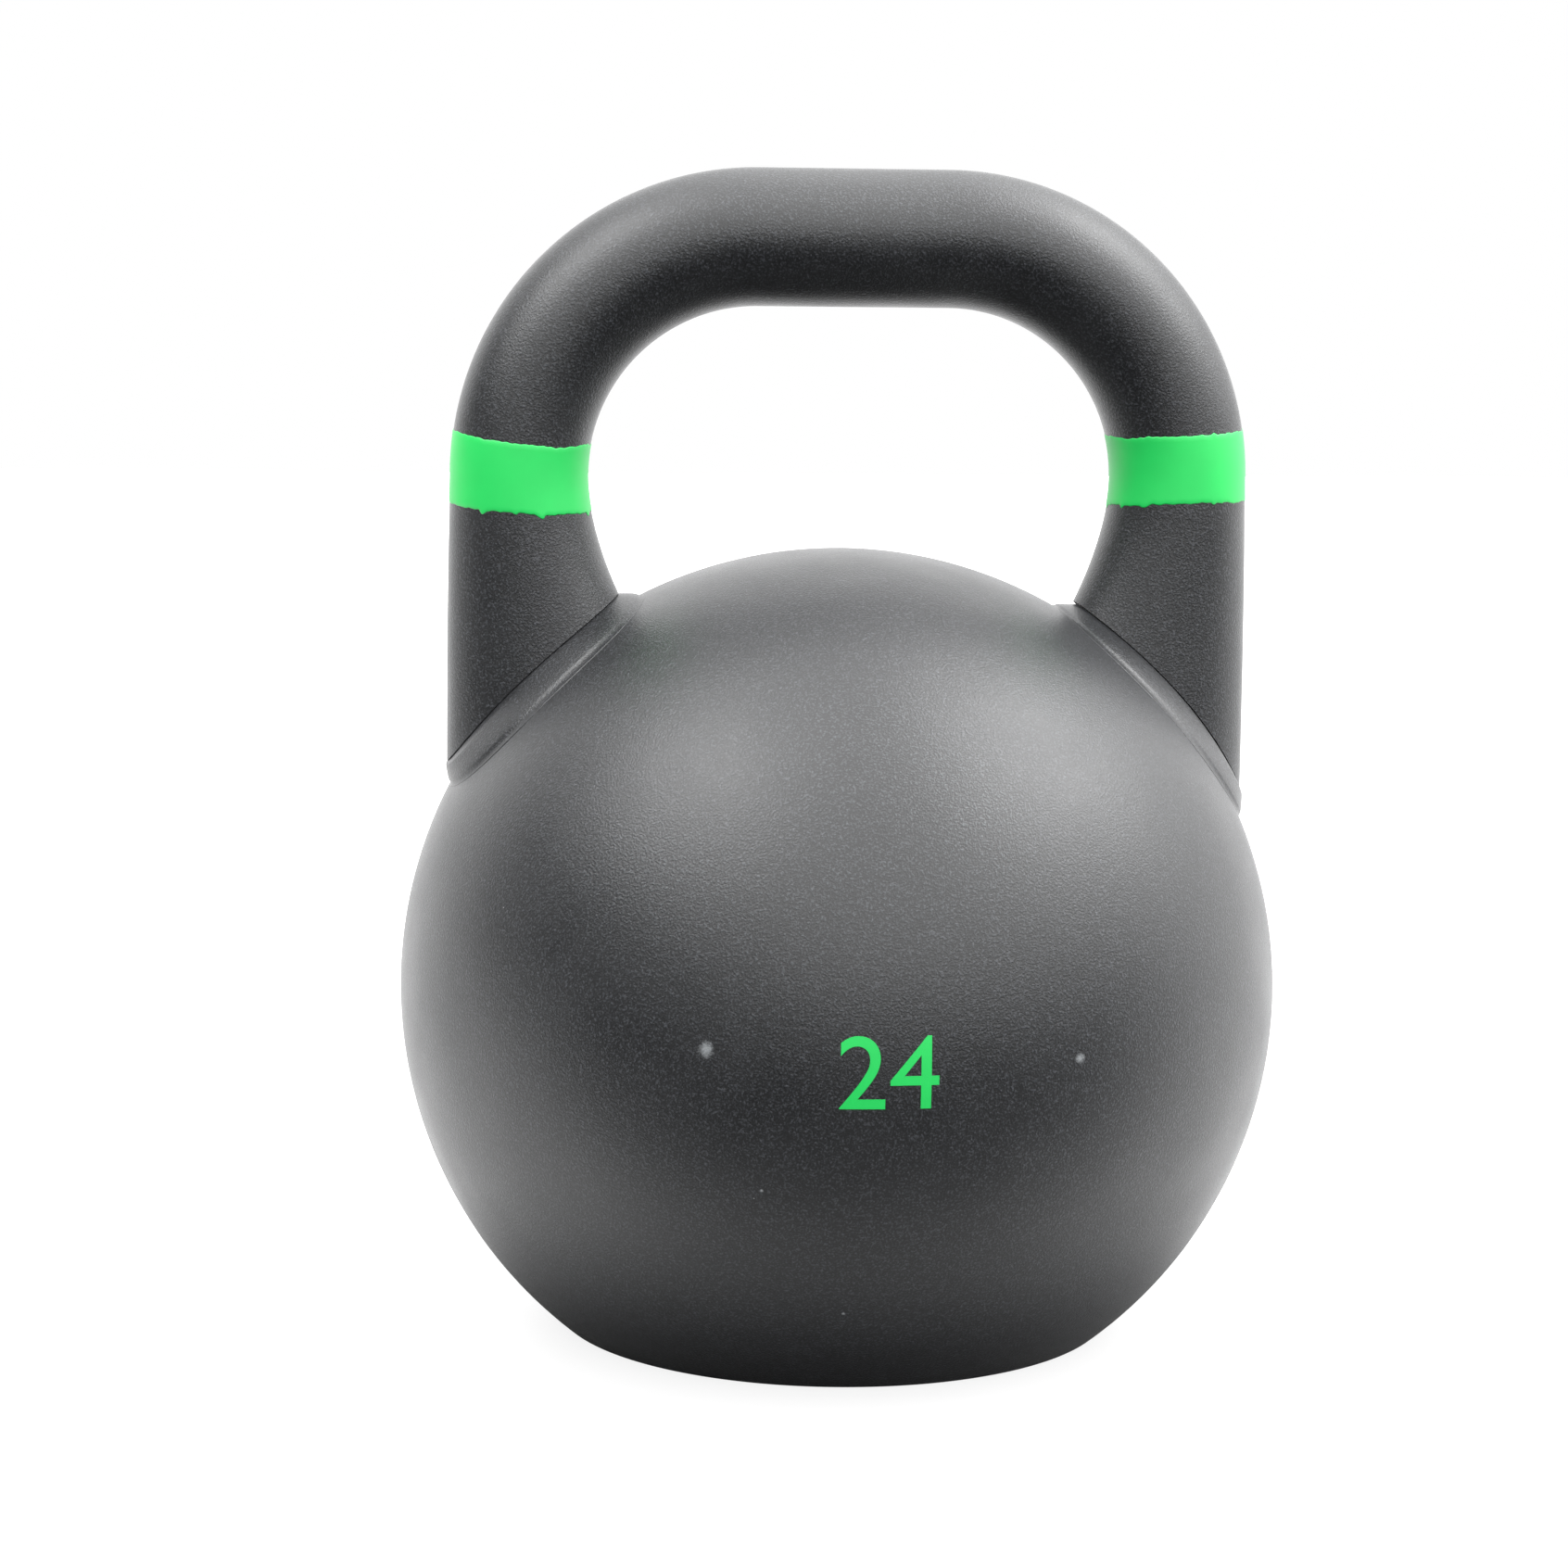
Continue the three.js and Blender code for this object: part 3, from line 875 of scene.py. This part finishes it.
flat_text = text_mesh(MARK_TEXT)
mark_shape = bmesh.new()
mark_shape.from_mesh(flat_text)
bpy.data.meshes.remove(flat_text)
corners = np.array([v.co for v in mark_shape.verts])
low, high = corners.min(0), corners.max(0)
middle, size = (low + high) / 2, high - low
scale = MARK_HEIGHT / size[1]
mark_width = scale * size[0]
for v in mark_shape.verts:
    v.co = ((v.co.x - middle[0]) * scale, (v.co.y - middle[1]) * scale, (v.co.z - low[2]) / size[2])
bmesh.ops.remove_doubles(mark_shape, verts=mark_shape.verts, dist=0.001)
for axis, reach in ((0, mark_width / 2), (1, MARK_HEIGHT / 2)):
    for place_on in np.arange(-reach + 1, reach, MARK_SQUARE):
        spot, facing = [0, 0, 0], [0, 0, 0]
        spot[axis], facing[axis] = place_on, 1
        everything = mark_shape.verts[:] + mark_shape.edges[:] + mark_shape.faces[:]
        bmesh.ops.bisect_plane(mark_shape, geom=everything, plane_co=spot, plane_no=facing, dist=0.0001)
for v in mark_shape.verts:
    longitude = v.co.x / BALL_RADIUS
    latitude = v.co.y / BALL_RADIUS + math.asin(MARK_CENTRE_Z / BALL_RADIUS)
    radius = BALL_RADIUS - MARK_SUNK + v.co.z * MARK_FILM
    v.co = Vector(
        (
            radius * math.sin(longitude) * math.cos(latitude),
            -radius * math.cos(longitude) * math.cos(latitude),
            BALL_Z + radius * math.sin(latitude),
        )
    )
mark_points = [v.co[:] for v in mark_shape.verts]
mark_faces = [[v.index for v in face.verts] for face in mark_shape.faces]
mark = piece("weight_mark", mark_points, mark_faces, enamel, smooth=False)
mark_shape.free()
print(f"mark {mark_width:.1f} x {MARK_HEIGHT} mm")

# %% [markdown]
# ## The plug, its seal and the ballast
# A ball that is poured hollow needs a hole in its foot for the core. The hole is taken here to be closed by
# a screwed plug on a rubber seal, with shot set in resin in the hollow to trim the weight. None of this
# shows on a standing bell, so these three pieces are the usual arrangement, not a copy.

# %% Plug and seal
PLUG_RECESS, PLUG_FLANGE, PLUG_TOP = 1.2, 5.2, 20.5
SOCKET_FLATS, SOCKET_DEPTH = 14.0, 7.0
SEAL_INNER, SEAL_OUTER = 21.0, 25.6

plug_side, flange_side = HOLE_RADIUS - JOINT_GAP, COUNTERBORE_RADIUS - JOINT_GAP
plug = run_tree(
    turning_tree,
    "plug",
    outline_mesh(
        rounded(
            [
                (0, PLUG_TOP, 0),
                (plug_side, PLUG_TOP, 1.0),
                (plug_side, PLUG_RECESS + PLUG_FLANGE, 0.2),
                (flange_side, PLUG_RECESS + PLUG_FLANGE, 0.3),
                (flange_side, PLUG_RECESS, 0.7),
                (14.0, PLUG_RECESS, 0.2),
                (13.4, PLUG_RECESS + 0.4, 0.2),
                (0, PLUG_RECESS + 0.4, 0),
            ]
        )
    ),
    {"Facets Round": 128, "Material": zinc},
)
corner = SOCKET_FLATS / math.sqrt(3)
hexagon = [(corner * math.cos(math.tau * i / 6), corner * math.sin(math.tau * i / 6)) for i in range(6)]
socket_top = PLUG_RECESS + SOCKET_DEPTH
socket = piece(
    "socket_cutter",
    [(x, y, -5.0) for x, y in hexagon] + [(x, y, socket_top) for x, y in hexagon] + [(0, 0, socket_top + 2)],
    [(0, 1, 2, 3, 4, 5)]
    + [(i, (i + 1) % 6, 6 + (i + 1) % 6, 6 + i) for i in range(6)]
    + [(6 + i, 6 + (i + 1) % 6, 12) for i in range(6)],
    zinc,
    smooth=False,
)
cut(plug, socket, creased_above=25)

seal_bottom, seal_top = PLUG_RECESS + PLUG_FLANGE + JOINT_GAP, COUNTERBORE_DEPTH - JOINT_GAP
seal_middle, seal_height = (SEAL_INNER + SEAL_OUTER) / 2, seal_top - seal_bottom
seal = run_tree(
    turning_tree,
    "seal",
    outline_mesh(
        rounded(
            [
                (seal_middle, seal_bottom, 0),
                (SEAL_OUTER, seal_bottom, 0.3),
                (SEAL_OUTER, seal_top, 0.3),
                (SEAL_INNER, seal_top, 0.3),
                (SEAL_INNER, seal_bottom, 0.3),
                (seal_middle, seal_bottom, 0),
            ],
            steps=4,
        )
    ),
    {"Facets Round": 96, "Material": rubber},
)

# %% [markdown]
# ## Shot in the ballast
# Steel shot is the same ball many times over, so a node tree scatters it: points are spread over the
# resin's underside with a fixed seed, and each gets one low ball, half sunk.

# %% Ballast
BALLAST_DEPTH = 18.4
SHOT_RADIUS = 1.5
crown_radius = CAVITY_RADIUS - JOINT_GAP
face_angle = math.degrees(math.acos((crown_radius - BALLAST_DEPTH) / crown_radius))
crown = meridian(crown_radius, 0, face_angle - 2, 4)
face_z = BALL_Z + crown_radius - BALLAST_DEPTH
ballast = run_tree(
    turning_tree,
    "ballast_resin",
    outline_mesh(crown + [(crown[-1][0] + 0.6, face_z + 0.7), (crown[-1][0] - 1.5, face_z), (0, face_z)]),
    {"Facets Round": 96, "Material": resin},
)

shot_tree, given, end = tree_with(
    "scattered_shot",
    [
        ("Surface", "NodeSocketGeometry"),
        ("Spacing", "NodeSocketFloat"),
        ("Shot Radius", "NodeSocketFloat"),
        ("Seed", "NodeSocketInt"),
        ("Material", "NodeSocketMaterial"),
    ],
)
spread = add(
    shot_tree,
    "GeometryNodeDistributePointsOnFaces",
    {
        "Mesh": given["Surface"],
        "Distance Min": given["Spacing"],
        "Density Max": 200000.0,
        "Seed": given["Seed"],
    },
    distribute_method="POISSON",
)
low_ball = add(shot_tree, "GeometryNodeMeshIcoSphere", {"Radius": given["Shot Radius"], "Subdivisions": 2})
scattered = add(
    shot_tree,
    "GeometryNodeInstanceOnPoints",
    {"Points": spread.outputs["Points"], "Instance": low_ball.outputs["Mesh"]},
)
solid = add(shot_tree, "GeometryNodeRealizeInstances", {"Geometry": scattered.outputs["Instances"]})
rounded_shot = add(shot_tree, "GeometryNodeSetShadeSmooth", {"Geometry": solid.outputs["Geometry"]})
painted = add(
    shot_tree,
    "GeometryNodeSetMaterial",
    {"Geometry": rounded_shot.outputs["Geometry"], "Material": given["Material"]},
)
shot_tree.links.new(painted.outputs["Geometry"], end.inputs["Geometry"])

disc = bpy.data.meshes.new("disc")
disc_radius = crown[-1][0] - 3.5
disc_turns = [math.tau * i / 64 for i in range(64)]
disc.from_pydata(
    [(disc_radius * MM * math.cos(t), disc_radius * MM * math.sin(t), face_z * MM) for t in disc_turns],
    [],
    [tuple(range(len(disc_turns)))],
)
shot = run_tree(
    shot_tree,
    "ballast_shot",
    disc,
    {"Spacing": 2.9 * SHOT_RADIUS * MM, "Shot Radius": SHOT_RADIUS * MM, "Seed": 24, "Material": shot_steel},
)

# %% [markdown]
# ## Putting the pieces on the frame
# Every piece rides on the bell's one body and takes the place of the measured solid it was made from.

# %% Frame
DRESSED = [
    (ball, ["ball_shell"], "black_powder_coat"),
    (handle, ["handle"], "black_powder_coat"),
    (left_collar, ["left_collar"], "black_powder_coat"),
    (right_collar, ["right_collar"], "black_powder_coat"),
    (plug, ["core_plug"], "zinc_plate"),
    (seal, ["plug_seal"], "seal_rubber"),
    (ballast, ["trim_ballast"], "ballast"),
    (shot, [], "ballast"),
    (left_band, ["left_colour_band"], "green_paint"),
    (right_band, ["right_colour_band"], "green_paint"),
    (mark, [], "green_paint"),
]
for made, nodes, slot in DRESSED:
    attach(made, "root")
    if nodes:
        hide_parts(*nodes)
print(len(DRESSED), "pieces on the frame")

# %% [markdown]
# ## The studio
# Black shows best on white: a bright room behind and overhead, two large soft boxes, and a floor that looks
# white. The bright surroundings draw the pale rims of the ball and handle; the room in front is dim, which
# keeps the front of the ball dark. The floor's paper is really dark grey. A light-path switch makes both
# floor and room look white to the camera only. The floor's glow is painted light: it shines on the bell
# only from beside and behind, and fades out round the foot as a painted contact shadow, so that the lower
# front stays dark.

# %% Floor
SEEN_WHITE = 0.85
GLOW_STRENGTH = 1.8
GLOW_FRONT, GLOW_FULL = -0.17, -0.07  # where the glow starts and is full, in metres along Y
# The floor's glow fades out round the foot as a painted contact shadow, full within FOOT_SHADE and gone by
# FOOT_CLEAR.
FOOT_SHADE, FOOT_CLEAR = 0.075, 0.15  # metres from the foot's centre

floor_material, tree, surface = new_material("pale_floor")
place = add(tree, "ShaderNodeTexCoord").outputs["Object"]
paper = add(tree, "ShaderNodeTexNoise", {"Vector": place, "Scale": 40.0, "Detail": 2.0})
white = add(
    tree,
    "ShaderNodeMix",
    {"Factor": paper.outputs["Fac"], "A": linear("#4c4c4c"), "B": linear("#505050")},
    data_type="RGBA",
)
tree.links.new(white.outputs["Result"], surface.inputs["Base Color"])
surface.inputs["Roughness"].default_value = 0.7
surface.inputs["Emission Color"].default_value = (1, 1, 1, 1)
paper_split = add(tree, "ShaderNodeSeparateXYZ", {"Vector": place})
# Painted light: the floor glows on the bell from beside and behind, though it is no lamp.
painted_light_from_below = add(
    tree,
    "ShaderNodeMapRange",
    {
        "Value": paper_split.outputs["Y"],
        "From Min": GLOW_FRONT,
        "From Max": GLOW_FULL,
        "To Min": 0.0,
        "To Max": GLOW_STRENGTH,
    },
    interpolation_type="SMOOTHSTEP",
)
# Painted contact shadow: the floor's glow fades out round the foot.
paper_reach = add(tree, "ShaderNodeVectorMath", {0: place}, operation="LENGTH")
clear_of_painted_foot_shadow = add(
    tree,
    "ShaderNodeMapRange",
    {"Value": paper_reach.outputs["Value"], "From Min": FOOT_SHADE, "From Max": FOOT_CLEAR},
    interpolation_type="SMOOTHSTEP",
)
lit = add(
    tree,
    "ShaderNodeMath",
    {0: painted_light_from_below.outputs["Result"], 1: clear_of_painted_foot_shadow.outputs["Result"]},
    operation="MULTIPLY",
)
paper_rays = add(tree, "ShaderNodeLightPath")
burnt_out = add(
    tree,
    "ShaderNodeMath",
    {0: paper_rays.outputs["Is Camera Ray"], 1: SEEN_WHITE},
    operation="MULTIPLY",
)
glow = add(
    tree,
    "ShaderNodeMath",
    {0: lit.outputs["Value"], 1: burnt_out.outputs["Value"]},
    operation="MAXIMUM",
)
tree.links.new(glow.outputs["Value"], surface.inputs["Emission Strength"])
FLOOR_FRONT, FLOOR_REACH, FLOOR_BOTTOM, FLOOR_TOP = -220, 4000, -4, -0.05
floor_outline = [
    (-FLOOR_REACH, FLOOR_FRONT),
    (FLOOR_REACH, FLOOR_FRONT),
    (FLOOR_REACH, FLOOR_REACH),
    (-FLOOR_REACH, FLOOR_REACH),
]
floor = piece(
    "studio_floor",
    [(x, y, z) for z in (FLOOR_BOTTOM, FLOOR_TOP) for x, y in floor_outline],
    [(3, 2, 1, 0), (4, 5, 6, 7), (0, 1, 5, 4), (1, 2, 6, 5), (2, 3, 7, 6), (3, 0, 4, 7)],
    floor_material,
    smooth=False,
)

# %% Surroundings
BEHIND_WAY, BEHIND_STRENGTH = (0.3, 0.95, 0.1), 2.2
CEILING_WAY, CEILING_STRENGTH = (0.3, -0.52, 0.8), 3.8

world = bpy.data.worlds.new("studio")
bpy.context.scene.world = world
world.use_nodes = True
tree = world.node_tree
background = tree.nodes["Background"]
direction = add(tree, "ShaderNodeTexCoord").outputs["Generated"]
behind_way = add(tree, "ShaderNodeVectorMath", {0: direction, 1: BEHIND_WAY}, operation="DOT_PRODUCT")
behind = add(
    tree,
    "ShaderNodeMapRange",
    {
        "Value": behind_way.outputs["Value"],
        "From Min": 0.02,
        "From Max": 0.45,
        "To Min": 0.0,
        "To Max": BEHIND_STRENGTH,
    },
    interpolation_type="SMOOTHSTEP",
)
ceiling_way = add(tree, "ShaderNodeVectorMath", {0: direction, 1: CEILING_WAY}, operation="DOT_PRODUCT")
ceiling = add(
    tree,
    "ShaderNodeMapRange",
    {
        "Value": ceiling_way.outputs["Value"],
        "From Min": 0.05,
        "From Max": 0.85,
        "To Min": 0.0,
        "To Max": CEILING_STRENGTH,
    },
    interpolation_type="SMOOTHSTEP",
)
split = add(tree, "ShaderNodeSeparateXYZ", {"Vector": direction})
horizon = add(
    tree,
    "ShaderNodeMapRange",
    {"Value": split.outputs["Z"], "From Min": -0.05, "From Max": 0.15, "To Min": 0.02, "To Max": 1.0},
    interpolation_type="SMOOTHSTEP",
)
over_horizon = add(
    tree,
    "ShaderNodeMath",
    {0: ceiling.outputs["Result"], 1: horizon.outputs["Result"]},
    operation="MULTIPLY",
)
room = add(
    tree,
    "ShaderNodeMath",
    {0: behind.outputs["Result"], 1: over_horizon.outputs["Value"]},
    operation="ADD",
)
rays = add(tree, "ShaderNodeLightPath")
seen = add(
    tree,
    "ShaderNodeMix",
    {"Factor": rays.outputs["Is Camera Ray"], "A": room.outputs["Value"], "B": 1.0},
    data_type="FLOAT",
)
tree.links.new(seen.outputs["Result"], background.inputs["Strength"])
background.inputs["Color"].default_value = (1, 1, 1, 1)


# %% Soft boxes
BOX_DISTANCE, BOX_SIDE, BOX_WATTS = 1.2, 0.8, 15  # metres, metres, watts


def soft_box(name, direction):
    light = bpy.data.lights.new(name, "AREA")
    light.shape = "RECTANGLE"
    light.size, light.size_y = BOX_SIDE, BOX_SIDE
    light.energy = BOX_WATTS
    made = bpy.data.objects.new(name, light)
    bpy.context.scene.collection.objects.link(made)
    aim = Vector(direction).normalized()
    centre = Vector((0, 0, BALL_Z * MM))
    turned = aim.to_track_quat("Z", "Y").to_matrix().to_4x4()
    made.matrix_world = Matrix.Translation(centre + aim * BOX_DISTANCE) @ turned
    print(f"{name}: {BOX_WATTS} W, {BOX_SIDE} m square")


soft_box("upper_left_box", (-0.56, -0.24, 0.8))
soft_box("upper_right_box", (0.6, -0.15, 0.75))
